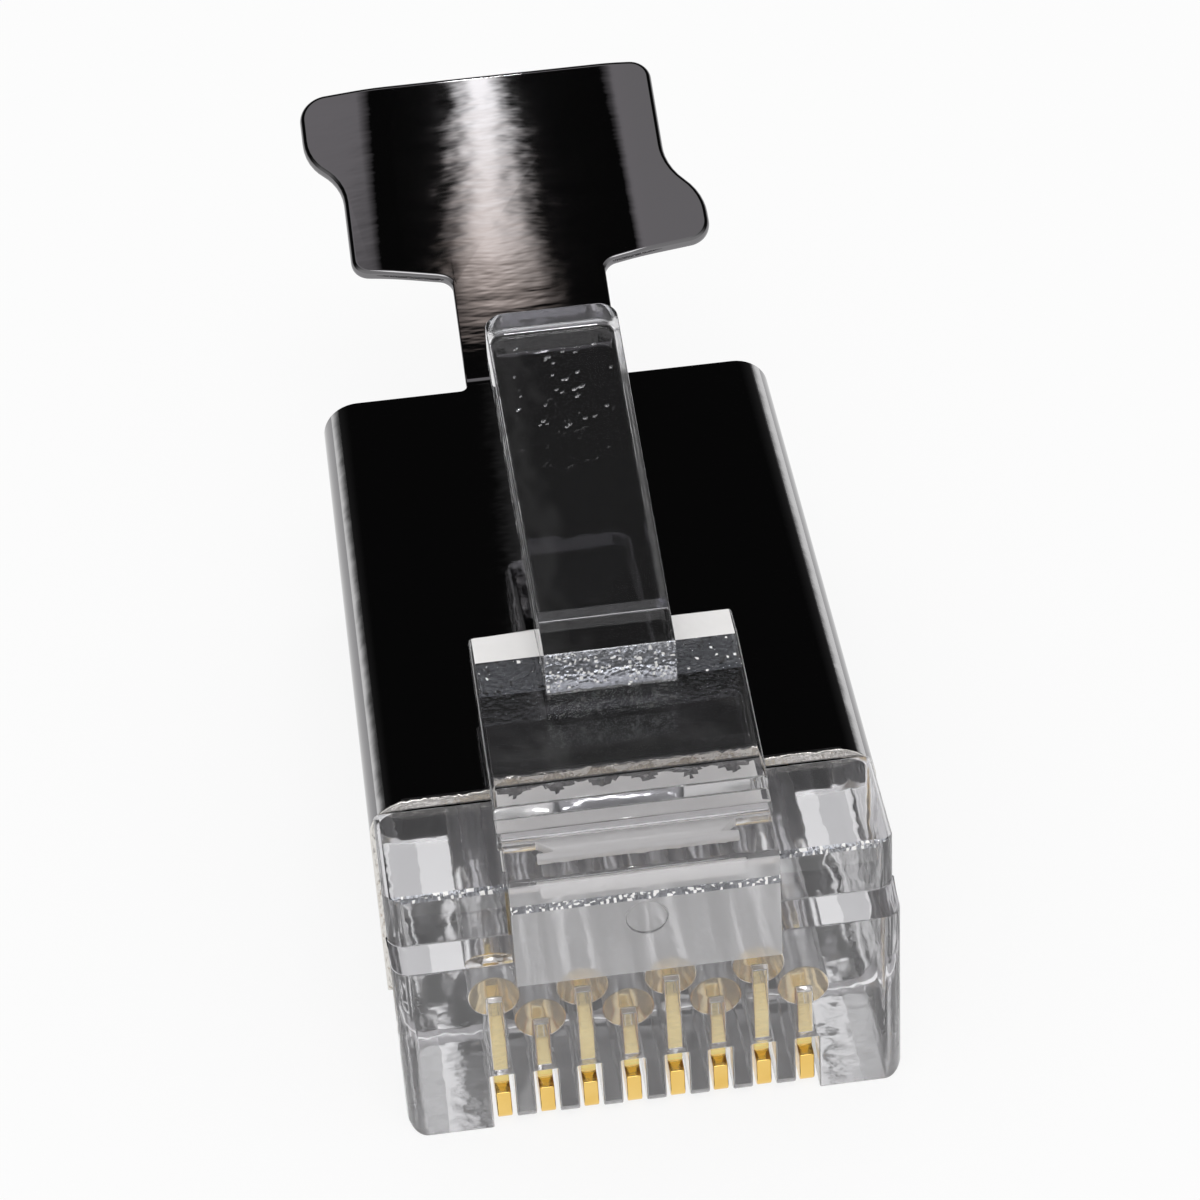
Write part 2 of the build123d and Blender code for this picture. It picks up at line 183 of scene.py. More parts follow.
@dataclass
class Copy:
    """A merged copy of a CAD node, with its edges rounded as moulding or stamping leaves them."""

    node: str
    name: str
    body: Body
    slot: Slot
    edge_radius: float = 0.035 * MM
    edge_segments: int = 2
    edge_share: Share | None = None
    dress: Callable[[bpy.types.Object], None] | None = None
    textures: Sequence[Texture] = ()
    merge: float = 0.0005 * MM
    flat_angle: float = math.radians(0.6)
    sharp_angle: float = math.radians(38)
    piece: bpy.types.Object | None = field(default=None, init=False)

    def make(self) -> bpy.types.Object:
        """Copies the node, merges its loose triangles and rounds its sharp edges.

        Returns:
            The new piece, which stands for the node.
        """
        source = bpy.data.objects[self.node]
        pick(source)
        bpy.ops.object.duplicate()
        piece = bpy.context.active_object
        piece.name = self.name
        piece.data.name = self.name
        piece.parent = None
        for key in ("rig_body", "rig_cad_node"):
            del piece[key]
        with editing(piece, everything=True):
            bpy.ops.mesh.remove_doubles(threshold=self.merge)
            bpy.ops.mesh.dissolve_limited(angle_limit=self.flat_angle)
        if self.dress is not None:
            self.dress(piece)
        self.round_edges(piece)
        piece.data.materials.clear()
        self.piece = piece
        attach(piece, self.body.value)
        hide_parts(self.node)
        return piece

    def round_edges(self, piece: bpy.types.Object) -> None:
        """Rounds the sharp edges by their shares of the edge radius, and shades the flat faces flat.

        Args:
            piece: The merged copy.
        """
        shares = self._shares(piece)
        weight = piece.data.attributes.new("bevel_weight_edge", "FLOAT", "EDGE")
        weight.data.foreach_set("value", shares)
        bevel = piece.modifiers.new("edge_rounding", "BEVEL")
        bevel.width = self.edge_radius
        bevel.segments = self.edge_segments
        bevel.limit_method = "WEIGHT"
        bevel.use_clamp_overlap = False
        bevel.miter_outer = "MITER_ARC"
        apply_modifiers(piece)
        for texture in self.textures:
            texture.add(piece)
        pick(piece)
        bpy.ops.object.shade_smooth_by_angle(angle=self.sharp_angle)
        weighted = piece.modifiers.new("flat_faces", "WEIGHTED_NORMAL")
        weighted.mode = "FACE_AREA"
        weighted.weight = 100
        weighted.keep_sharp = True
        apply_modifiers(piece)

    def _shares(self, piece: bpy.types.Object) -> list[float]:
        """Works out how much of the edge radius each edge takes.

        Args:
            piece: The merged copy.

        Returns:
            One share for each edge, 0 where it isn't sharp.
        """
        shares = []
        with editing(piece) as mesh:
            for edge in mesh.edges:
                normals = [face.normal for face in edge.link_faces]
                if len(normals) != 2 or normals[0].angle(normals[1], 0.0) < self.sharp_angle:
                    shares.append(0.0)
                elif self.edge_share is None:
                    shares.append(1.0)
                else:
                    middle = (edge.verts[0].co + edge.verts[1].co) / 2
                    shares.append(self.edge_share(middle, normals))
        return shares

    def paint(self, finish: bpy.types.Material, test: Test | None = None) -> int:
        """Gives a finish to the whole piece, or to the faces that pass a test.

        Args:
            finish: The material.
            test: Takes a face's centre and normal. None means every face.

        Returns:
            How many faces took the finish.
        """
        mesh = self.piece.data
        if finish.name not in mesh.materials:
            mesh.materials.append(finish)
        index = list(mesh.materials).index(finish)
        painted = 0
        for face in mesh.polygons:
            if test is None or test(face.center, face.normal):
                face.material_index = index
                painted += 1
        return painted


def scribe(piece: bpy.types.Object, point: Vector, normal: Vector, test: Test) -> None:
    """Cuts a line into flat faces, so that a part of them can take a finish or a shape of its own.

    Args:
        piece: The object to cut.
        point: A point of the cutting plane.
        normal: The plane's normal.
        test: Takes a face's centre and normal, and tells whether the face is cut.
    """
    with editing(piece) as mesh:
        for face in mesh.faces:
            if test(face.calc_center_median(), face.normal):
                face.select_set(True)
        bpy.ops.mesh.bisect(plane_co=point, plane_no=normal, threshold=CUT_TOLERANCE)


class ShaderTree:
    """A node tree under construction, with short calls for adding and joining its nodes."""

    def __init__(self, tree: bpy.types.NodeTree) -> None:
        """Starts on an empty tree.

        Args:
            tree: The tree of a material, a world or a node group.
        """
        self.tree = tree
        tree.nodes.clear()

    def add(self, kind: str, **settings: object) -> bpy.types.Node:
        """Adds a node.

        Args:
            kind: The node's type, without its leading ShaderNode.
            **settings: Properties of the node.

        Returns:
            The node.
        """
        prefix = "" if kind.startswith("NodeGroup") else "ShaderNode"
        node = self.tree.nodes.new(prefix + kind)
        for name, value in settings.items():
            setattr(node, name, value)
        return node

    def join(self, source: bpy.types.NodeSocket, target: bpy.types.NodeSocket) -> None:
        """Links one socket to another."""
        self.tree.links.new(source, target)

    def maths(self, operation: str, first: object, second: object) -> bpy.types.NodeSocket:
        """Adds a Math node.

        Args:
            operation: Blender's name of the operation.
            first: A socket or a number.
            second: A socket or a number.

        Returns:
            The node's output.
        """
        node = self.add("Math", operation=operation)
        for socket, value in zip(node.inputs, (first, second)):
            if isinstance(value, bpy.types.NodeSocket):
                self.join(value, socket)
            else:
                socket.default_value = value
        return node.outputs[0]

    def bump(
        self,
        level: bpy.types.NodeSocket,
        strength: bpy.types.NodeSocket,
        depth: float,
        under: bpy.types.NodeSocket | None = None,
    ) -> bpy.types.NodeSocket:
        """Adds a Bump node.

        Args:
            level: The height over the surface, from 0 to 1.
            strength: How much of the depth is used.
            depth: The depth of a full height.
            under: The normal that it lies on. None means the surface's own.

        Returns:
            The bumped normal.
        """
        node = self.add("Bump")
        node.inputs["Distance"].default_value = depth
        self.join(level, node.inputs["Height"])
        self.join(strength, node.inputs["Strength"])
        if under is not None:
            self.join(under, node.inputs["Normal"])
        return node.outputs["Normal"]

    def mix_shaders(
        self, first: bpy.types.NodeSocket, second: bpy.types.NodeSocket, share: bpy.types.NodeSocket
    ) -> bpy.types.NodeSocket:
        """Mixes two shaders by the share of the second."""
        node = self.add("MixShader")
        for socket, source in zip(node.inputs, (share, first, second)):
            self.join(source, socket)
        return node.outputs["Shader"]

    def ramp(self, value: bpy.types.NodeSocket, stops: Sequence[Stop]) -> bpy.types.NodeSocket:
        """Adds a colour ramp.

        Args:
            value: The value that runs along it.
            stops: Places, levels and tints of its stops.

        Returns:
            The colour.
        """
        node = self.add("ValToRGB")
        elements = node.color_ramp.elements
        while len(elements) < len(stops):
            elements.new(0.5)
        for element, (position, level, tint) in zip(elements, stops):
            element.position = position
            element.color = (*(level * part for part in tint), 1)
        self.join(value, node.inputs["Fac"])
        return node.outputs["Color"]

    def rise(
        self, value: bpy.types.NodeSocket, span: Pair, top: float = 1.0, kind: str = "LINEAR"
    ) -> bpy.types.NodeSocket:
        """Adds a Map Range node that rises from 0.

        Args:
            value: The value to map.
            span: The values at which the rise starts and ends.
            top: The level at its end.
            kind: Blender's name of the way it rises.

        Returns:
            The level.
        """
        node = self.add("MapRange", interpolation_type=kind)
        for label, number in (("From Min", span[0]), ("From Max", span[1]), ("To Max", top)):
            node.inputs[label].default_value = number
        self.join(value, node.inputs["Value"])
        return node.outputs["Result"]

    def blend(self, first: object, second: object, factor: object, kind: str = "MIX") -> bpy.types.NodeSocket:
        """Adds a Mix node for colours.

        Args:
            first: A socket or a colour.
            second: A socket or a colour.
            factor: A socket or a number.
            kind: Blender's name of the way the second goes over the first.

        Returns:
            The mixed colour.
        """
        node = self.add("Mix", data_type="RGBA", blend_type=kind)
        targets = [node.inputs["Factor"], *(socket for socket in node.inputs if socket.type == "RGBA")]
        for socket, value in zip(targets, (factor, first, second)):
            if isinstance(value, bpy.types.NodeSocket):
                self.join(value, socket)
            else:
                socket.default_value = value
        return next(socket for socket in node.outputs if socket.type == "RGBA")


def new_group(name: str, labels: Sequence[str]) -> tuple[ShaderTree, bpy.types.Node, bpy.types.Node]:
    """Starts a shader node group that puts out a roughness and a normal.

    Args:
        name: The group's name.
        labels: Names of its number inputs.

    Returns:
        The tree, its input node and its output node.
    """
    group = bpy.data.node_groups.new(name, "ShaderNodeTree")
    for label in labels:
        group.interface.new_socket(label, in_out="INPUT", socket_type="NodeSocketFloat")
    for label, kind in (("Roughness", "NodeSocketFloat"), ("Normal", "NodeSocketVector")):
        group.interface.new_socket(label, in_out="OUTPUT", socket_type=kind)
    tree = ShaderTree(group)
    return tree, tree.add("NodeGroupInput"), tree.add("NodeGroupOutput")


class SurfaceGroups:
    """Node groups that the finishes share."""

    def __init__(self) -> None:
        """Builds both groups."""
        self.moulding = self._moulding()
        self.rolling = self._rolling()

    @staticmethod
    def _moulding() -> bpy.types.NodeTree:
        """Surface of a moulded face: slow waves from the flow, and the mould's fine texture.

        Returns:
            The group.
        """
        tree, given, result = new_group("moulded_surface", PLASTIC_LABELS)
        place = tree.add("TexCoord")
        wave = tree.add("TexNoise")
        wave.inputs["Detail"].default_value = 2.0
        grain = tree.add("TexVoronoi")
        for noise, size in ((wave, "Wave Size"), (grain, "Grain Size")):
            tree.join(place.outputs["Object"], noise.inputs["Vector"])
            tree.join(given.outputs[size], noise.inputs["Scale"])
        waves = tree.bump(wave.outputs["Fac"], given.outputs["Wave Height"], MOULD_DEPTH)
        grains = tree.bump(grain.outputs["Distance"], given.outputs["Grain Height"], MOULD_DEPTH, waves)
        change = tree.maths("MULTIPLY", grain.outputs["Distance"], given.outputs["Roughness Change"])
        tree.join(tree.maths("ADD", given.outputs["Roughness"], change), result.inputs["Roughness"])
        tree.join(grains, result.inputs["Normal"])
        return tree.tree

    @staticmethod
    def _rolling() -> bpy.types.NodeTree:
        """Surface of rolled and plated sheet: fine lines one way, slow dents, and a few pits.

        Returns:
            The group.
        """
        tree, given, result = new_group("rolled_surface", METAL_LABELS)
        place = tree.add("TexCoord")
        stretch = tree.add("Mapping")
        stretch.inputs["Rotation"].default_value = (0, 0, math.radians(-55))
        stretch.inputs["Scale"].default_value = (0.25, 1.0, 1.0)
        line = tree.add("TexNoise")
        dent = tree.add("TexNoise")
        tree.join(place.outputs["Object"], stretch.inputs["Vector"])
        tree.join(stretch.outputs["Vector"], line.inputs["Vector"])
        tree.join(place.outputs["Object"], dent.inputs["Vector"])
        tree.join(given.outputs["Line Size"], line.inputs["Scale"])
        tree.join(given.outputs["Dent Size"], dent.inputs["Scale"])
        dents = tree.bump(dent.outputs["Fac"], given.outputs["Dent Height"], SHEET_DEPTH)
        lines = tree.bump(line.outputs["Fac"], given.outputs["Line Height"], SHEET_DEPTH, dents)
        change = tree.maths("MULTIPLY", line.outputs["Fac"], given.outputs["Roughness Change"])
        tree.join(tree.maths("ADD", given.outputs["Roughness"], change), result.inputs["Roughness"])
        tree.join(lines, result.inputs["Normal"])
        return tree.tree


class Finishes:
    """Every finish of the plug, built once."""

    index = 1.585
    shade_size = 1200.0

    def __init__(self) -> None:
        """Builds the node groups and the materials."""
        self.groups = SurfaceGroups()
        self.clear = self._plastic("clear", (0.91, 0.905, 0.925), (0.25, 1000.0), (0.03, 0.05))
        self.arm = self._plastic("clear_arm", (0.98, 0.975, 0.985), (0.08, 500.0), (0.01, 0.02), 0.99)
        # Painted shade: a dark tint on the arm's and lever's undersides over the shield.
        self.arm_painted_shade = self._plastic("shaded_arm", (0.2, 0.2, 0.22), (0.15, 700.0), (0.02, 0.03), 0.99)
        self.cored = self._plastic("cored", (0.91, 0.905, 0.925), (0.3, 1500.0), (0.12, 0.1), 0.85)
        # Painted reflection: a gold tint on the channels' front ends, for the gold blades seen in them.
        self.channel_gold_reflection = self._plastic("painted_gold_reflection", (0.92, 0.64, 0.24), (0.2, 1500.0), (0.06, 0.1), 0.9)
        self.cloudy = self._plastic("cloudy", (0.95, 0.94, 0.955), (0.15, 1800.0), (0.1, 0.1), 0.72)
        # Painted light: white diffuse plastic for bright zones, white strips and glints.
        self.painted_light = self._plastic("painted_light", (1.0, 0.985, 0.975), (0.3, 1800.0), (0.15, 0.1), 0.1)
        # Painted shade: a grey tint on the nose's underside, for the plug's shadow on the floor seen through
        # it.
        self.underside = self._plastic("shaded_underside", (0.5, 0.495, 0.515), (0.3, 900.0), (0.15, 0.1))
        self.frosted = self._plastic(
            "textured", (0.86, 0.9, 1.0), (0.02, 900.0), (0.06, 0.1), grain=(0.3, 9000.0)
        )
        self.plated = self._metal(
            "bright_nickel", (0.2, 0.196, 0.202), (0.03, 3000.0), (0.05, 500.0), (0.015, 0.02)
        )
        self.inner = self._metal(
            "dull_inner_nickel", (0.5, 0.495, 0.5), (0.1, 3000.0), (0.8, 700.0), (0.15, 0.05)
        )
        self.cut_edge = self._metal(
            "sheared_edge", (0.75, 0.73, 0.7), (0.02, 3000.0), (0.8, 6000.0), (0.2, 0.05)
        )
        self.shaded_edge = self._metal(
            "shaded_edge", (0.12, 0.118, 0.12), (0.02, 3000.0), (0.3, 500.0), (0.3, 0.05)
        )
        # Pale flash gold with painted light: its paler tint is partly the flash plating and partly a painted
        # veil of light, and its glow is painted.
        self.pale_gold_painted_glow = self._metal(
            "pale_gold_flash_painted_glow", (1.0, 0.84, 0.36), (0.3, 9000.0), (0.05, 500.0), (0.25, 0.05),
            shade=(0.98, 0.72, 0.24), metallic=0.1, glow=0.2,
        )
        self.gold = self._metal(
            "gold_plating", (0.95, 0.68, 0.24), (0.15, 9000.0), (0.05, 500.0), (0.14, 0.05),
            shade=(0.80, 0.50, 0.12),
        )

    def _plastic(
        self,
        name: str,
        colour: Colour,
        waves: Pair,
        rough: Pair,
        clearness: float = 0.94,
        grain: Pair = (0.0, 9000.0),
    ) -> bpy.types.Material:
        """Makes a clear polycarbonate, polished or with the mould's texture.

        Args:
            name: The first part of its name.
            colour: Its tint.
            waves: Height and size of its waves.
            rough: Its least roughness, and what the grain adds.
            clearness: How much of it is clear and not milky.
            grain: Height and size of its grain.

        Returns:
            The material.
        """
        values = (*waves, *grain, *rough)
        material, _, shader = self._start(f"{name}_polycarbonate", colour, self.groups.moulding, values)
        shader.inputs["IOR"].default_value = self.index
        shader.inputs["Transmission Weight"].default_value = clearness
        return material

    def _metal(
        self,
        name: str,
        colour: Colour,
        lines: Pair,
        dents: Pair,
        rough: Pair,
        shade: Colour | None = None,
        metallic: float = 1.0,
        glow: float = 0.0,
    ) -> bpy.types.Material:
        """Makes a plated metal.

        Args:
            name: Its name.
            colour: Its colour.
            lines: Height and size of its rolling lines.
            dents: Height and size of its dents.
            rough: Its least roughness, and what the lines add.
            shade: A second colour, which lies over it in soft blotches.
            metallic: How much of it is metal.
            glow: Strength of its emission, which is painted light.

        Returns:
            The material.
        """
        material, tree, shader = self._start(name, colour, self.groups.rolling, (*lines, *dents, *rough))
        shader.inputs["Metallic"].default_value = metallic
        shader.inputs["Emission Color"].default_value = (*colour, 1.0)
        shader.inputs["Emission Strength"].default_value = glow
        if shade is not None:
            place = tree.add("TexCoord")
            noise = tree.add("TexNoise")
            noise.inputs["Scale"].default_value = self.shade_size
            tree.join(place.outputs["Object"], noise.inputs["Vector"])
            mixed = tree.blend((*colour, 1.0), (*shade, 1.0), noise.outputs["Fac"])
            tree.join(mixed, shader.inputs["Base Color"])
        return material

    @staticmethod
    def _start(
        name: str, colour: Colour, group: bpy.types.NodeTree, values: Sequence[float]
    ) -> tuple[bpy.types.Material, ShaderTree, bpy.types.Node]:
        """Starts a material whose roughness and normal come from a shared group.

        Args:
            name: Its name.
            colour: Its base colour.
            group: The group of its surface.
            values: The group's values, in the order of its labels.

        Returns:
            The material, its tree and its Principled BSDF.
        """
        material = bpy.data.materials.new(name)
        material.use_nodes = True
        tree = ShaderTree(material.node_tree)
        shader = tree.add("BsdfPrincipled")
        shader.inputs["Base Color"].default_value = (*colour, 1.0)
        surface = tree.add("Group")
        surface.node_tree = group
        for socket, value in zip(surface.inputs, values):
            socket.default_value = value
        for label in ("Roughness", "Normal"):
            tree.join(surface.outputs[label], shader.inputs[label])
        tree.join(shader.outputs["BSDF"], tree.add("OutputMaterial").inputs["Surface"])
        return material, tree, shader


@dataclass
class Housing:
    """Clear moulded housing, with the latch root on its nose."""

    ledge_y: float = 0.97 * MM
    ledge_top: float = 6.58 * MM
    root_half: float = 3.05 * MM
    nose_half: float = 5.6 * MM
    pocket_half: float = 2.3 * MM
    gold_reflection_end: float = 3.0 * MM
    shield_front: float = 4.02 * MM
    nose_rear: float = 4.1 * MM
    channels_half: float = 4.2 * MM
    cavity_half: float = 4.75 * MM
    cavity_front: float = 0.5 * MM
    cavity_level: Pair = (1.7 * MM, 5.9 * MM)
    ribs_half: float = 3.9 * MM
    ribs_rear: float = 1.0 * MM
    underside_top: float = 0.6 * MM
    clear_half: float = 4.9 * MM
    shade_zone_end: float = 7.5 * MM
    pocket_top: float = 7.12 * MM
    pocket: Pair = (0.98 * MM, 1.52 * MM)
    web_rear: float = 1.55 * MM
    glint_share: float = 0.22
    bright_zone_end: float = 3.6 * MM
    near_face: float = 0.06 * MM
    bright_zone_spacing: float = 0.11 * MM
    bright_zone_height: float = 0.015 * MM
    scallop: float = 0.3 * MM
    pitch: float = 1.02 * MM
    rough_width: float = 0.13 * MM
    root_front: float = -0.1 * MM
    band_low: float = 6.72 * MM
    band_high: float = 6.95 * MM
    gate_middle: float = 6.15 * MM
    gate_radius: float = 0.475 * MM

    def build(self, finishes: Finishes) -> bpy.types.Object:
        """Copies the CAD node and dresses it.

        Args:
            finishes: The plug's materials.

        Returns:
            The housing.
        """
        shell = Copy(
            "housing", "clear_housing", Body.PLUG, Slot.CLEAR, dress=self._scribe, textures=self._textures()
        )
        piece = shell.make()
        shell.paint(finishes.clear)
        shell.paint(finishes.cored, self._is_inside)
        # Painted reflection of the gold blades at the channels' front ends.
        shell.paint(finishes.channel_gold_reflection, self._is_channel_end)
        shell.paint(finishes.cloudy, self._on_root)
        shell.paint(finishes.cloudy, self._in_gate)
        # Painted light: white in the pocket and the zone under the arm.
        shell.paint(finishes.painted_light, self._is_painted_bright)
        # Painted shade for the plug's shadow under the nose.
        shell.paint(finishes.underside, self._is_under)
        frosted = shell.paint(finishes.frosted, self._is_rough)
        # Painted glints: white faces at random in the rough bands.
        shell.paint(finishes.painted_light, self._is_glint)
        shell.paint(finishes.cloudy, self._is_rib_front)
        log.info("housing: %d faces, %d of them frosted", len(piece.data.polygons), frosted)
        return piece

    def _textures(self) -> list[Texture]:
        """Lists the rough bands along the ledge's edge and across the root's front."""
        half = (self.nose_half - self.root_half) / 2
        sides = (X * half, Y * (self.rough_width / 2))
        bands = []
        for turn in (1, -1):
            middle = Vector((turn * (self.root_half + half), self.ledge_y, self.ledge_top))
            bands.append(Texture(self._on_edge, middle, sides))
        height = (self.band_low + self.band_high) / 2
        sides = (X * self.root_half, Z * ((self.band_high - self.band_low) / 2))
        bands.append(Texture(self._in_band, Vector((0, self.root_front, height)), sides))
        middle = Vector((0, (self.pocket[0] + self.shield_front) / 2, self.ledge_top))
        sides = (X * self.root_half, Y * ((self.shield_front - self.pocket[0]) / 2))
        under_arm = Texture(self._is_under_arm, middle, sides, self.bright_zone_spacing, self.bright_zone_height)
        return [*bands, under_arm]

    def _scribe(self, piece: bpy.types.Object) -> None:
        """Cuts the borders of the rough bands on the root's front face and along the ledge's edge."""
        for height in (self.band_low, self.band_high):
            scribe(piece, Z * height, Z, self._on_root)
        level = Z * (self.ledge_top - self.rough_width)
        scribe(piece, level, Z, self._on_ledge_front)
        back = Y * (self.ledge_y + self.rough_width)
        scribe(piece, back, Y, self._on_nose_top)
        for turn in (1, -1):
            scribe(piece, X * (turn * self.root_half), X, self._on_nose_top)
            scribe(piece, X * (turn * self.clear_half), X, self._on_underside)
        scribe(piece, Y * self.shade_zone_end, Y, self._on_underside)

    def _on_root(self, centre: Vector, normal: Vector) -> bool:
        """Picks the root's front face."""
        return normal.y < -FACING and abs(centre.y - self.root_front) < FLUSH

    def _on_ledge_front(self, centre: Vector, normal: Vector) -> bool:
        """Picks the ledge's front face."""
        return normal.y < -FACING and abs(centre.y - self.ledge_y) < FLUSH

    def _on_nose_top(self, centre: Vector, normal: Vector) -> bool:
        """Picks the nose's top face."""
        level = normal.z > FACING and abs(centre.z - self.ledge_top) < FLUSH
        return level and centre.y < self.nose_rear

    def _is_channel_end(self, centre: Vector, normal: Vector) -> bool:
        """Picks the front end of a wire channel, which takes a painted reflection of the gold blades."""
        in_front = centre.y < self.gold_reflection_end and abs(centre.x) < self.channels_half
        return in_front and self._is_inside(centre, normal)

    def _is_under_arm(self, centre: Vector, normal: Vector) -> bool:
        """Picks the part of the nose's top that lies under the hinge and the arm."""
        half = self.pocket_half if centre.y < self.web_rear else self.root_half
        level = normal.z > SLOPING and abs(centre.z - self.ledge_top) < self.near_face
        return level and abs(centre.x) < half

    def _is_painted_bright(self, centre: Vector, normal: Vector) -> bool:
        """Picks the pocket, and the zone under the arm, which take white painted light; the zone's rear edge
        is scalloped like the channels' shadows.
        """
        front, rear = self.pocket
        end = self.bright_zone_end + self.scallop * abs(math.cos(math.pi * centre.x / self.pitch))
        in_pocket = front < centre.y < rear and self.ledge_top < centre.z < self.pocket_top
        under_arm = self._is_under_arm(centre, normal) and front < centre.y < end
        return under_arm or (in_pocket and abs(centre.x) < self.pocket_half)

    def _is_glint(self, centre: Vector, normal: Vector) -> bool:
        """Picks a part of the rough bands' faces by chance, for the painted glints in them."""
        return self._is_rough(centre, normal) and random.random() < self.glint_share

    def _is_inside(self, centre: Vector, normal: Vector) -> bool:
        """Picks the wire channels, the funnel and the rear cavity."""
        low, high = self.cavity_level
        return centre.y > self.cavity_front and abs(centre.x) < self.cavity_half and low < centre.z < high

    def _on_underside(self, centre: Vector, normal: Vector) -> bool:
        """Picks the underside."""
        return normal.z < -FACING and centre.z < self.underside_top

    def _is_under(self, centre: Vector, normal: Vector) -> bool:
        """Picks the part of the nose's underside that takes painted shade, for the plug's shadow on the floor
        seen through it.
        """
        in_zone = centre.y < self.shade_zone_end and abs(centre.x) > self.clear_half
        return in_zone and self._on_underside(centre, normal)

    def _on_edge(self, centre: Vector, normal: Vector) -> bool:
        """Picks the rough band along the ledge's edge."""
        off_edge = math.hypot(centre.y - self.ledge_y, centre.z - self.ledge_top)
        beside_root = abs(normal.x) < FACING and abs(centre.x) > self.root_half - FLUSH
        return beside_root and off_edge < self.rough_width

    def _in_band(self, centre: Vector, normal: Vector) -> bool:
        """Picks the rough band across the root's front."""
        return self._on_root(centre, normal) and self.band_low < centre.z < self.band_high

    def _is_rough(self, centre: Vector, normal: Vector) -> bool:
        """Picks the rough bands."""
        near_root = abs(centre.y - self.root_front) < self.near_face and normal.y < -ROUNDED
        in_band = near_root and self.band_low < centre.z < self.band_high
        return in_band or self._on_edge(centre, normal)

    def _is_rib_front(self, centre: Vector, normal: Vector) -> bool:
        """Picks the front ends of the ribs between the contacts."""
        in_front = normal.y < -TURNED and centre.y < self.ribs_rear
        return in_front and abs(centre.x) < self.ribs_half and centre.z < self.cavity_level[0]

    def _in_gate(self, centre: Vector, normal: Vector) -> bool:
        """Picks the gate mark."""
        middle = math.hypot(centre.x, centre.z - self.gate_middle)
        sunk = self.root_front + 2 * FLUSH < centre.y < 0 and normal.y < -FACING
        return sunk and middle < self.gate_radius


